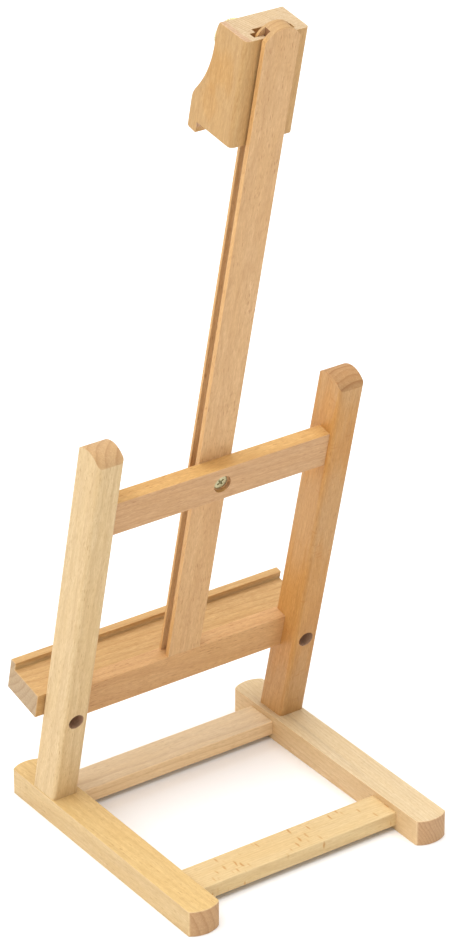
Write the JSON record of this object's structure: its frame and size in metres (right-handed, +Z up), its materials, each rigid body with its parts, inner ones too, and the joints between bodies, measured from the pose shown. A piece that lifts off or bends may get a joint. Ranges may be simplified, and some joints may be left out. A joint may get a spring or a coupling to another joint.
{
  "type": "tabletop artist easel",
  "caption": "Tabletop H-frame artist's easel: a canvas stands on a lipped tray and is held from above by a sliding clamp on a grooved mast.",
  "frame": {"origin": "centre of the footprint on the table, under both runners", "axes": "+Z up, the canvas side faces -Y, the easel's right as seen from the canvas side is +X"},
  "size_m": [0.1834, 0.184, 0.4942],
  "materials": {
    "beech_pale": "satin",
    "beech_light": "satin",
    "beech_honey": "satin",
    "beech_warm": "satin",
    "beech_tan": "satin",
    "beech_dowel": "satin",
    "knurled_brass": "satin",
    "passivated_screw": "satin"
  },
  "bodies": {
    "frame": {"left_runner": "beech_light", "right_runner": "beech_light", "front_stretcher": "beech_light", "rear_stretcher": "beech_pale", "front_stretcher_dowels": "beech_dowel", "rear_stretcher_dowels": "beech_dowel", "left_post": "beech_tan", "right_post": "beech_pale", "post_screws": "passivated_screw", "upper_rail": "beech_honey", "upper_rail_dowels": "beech_dowel", "lower_rail": "beech_honey", "lower_rail_dowels": "beech_dowel", "mast": "beech_warm", "mast_foot_dowel": "beech_dowel", "mast_screw": "passivated_screw", "tray": "beech_honey", "tray_screws": "passivated_screw"},
    "clamp": {"top_clamp": "beech_warm", "clamp_insert": "knurled_brass"},
    "pad": {"pressure_pad": "beech_light"},
    "thumbscrew": {"knob_stud": "knurled_brass", "thumb_knob": "knurled_brass"}
  },
  "joints": [
    {"name": "clamp_slide", "type": "slide", "parent": "frame", "child": "clamp", "axis": [0, -0.225, -0.9744], "range_m": [0, 0.335]},
    {"name": "pad_advance", "type": "slide", "parent": "clamp", "child": "pad", "axis": [0, -0.9744, 0.225], "range_m": [0, 0.002]},
    {"name": "knob_turn", "type": "hinge", "parent": "pad", "child": "thumbscrew", "pos_m": [0, 0.03276, 0.46752], "axis": [0, -0.9744, 0.225], "range_deg": [0, 720]}
  ],
  "couplings": [
    {"joint": "knob_turn", "follows": "pad_advance", "rad_per_m": 6283.2}
  ]
}
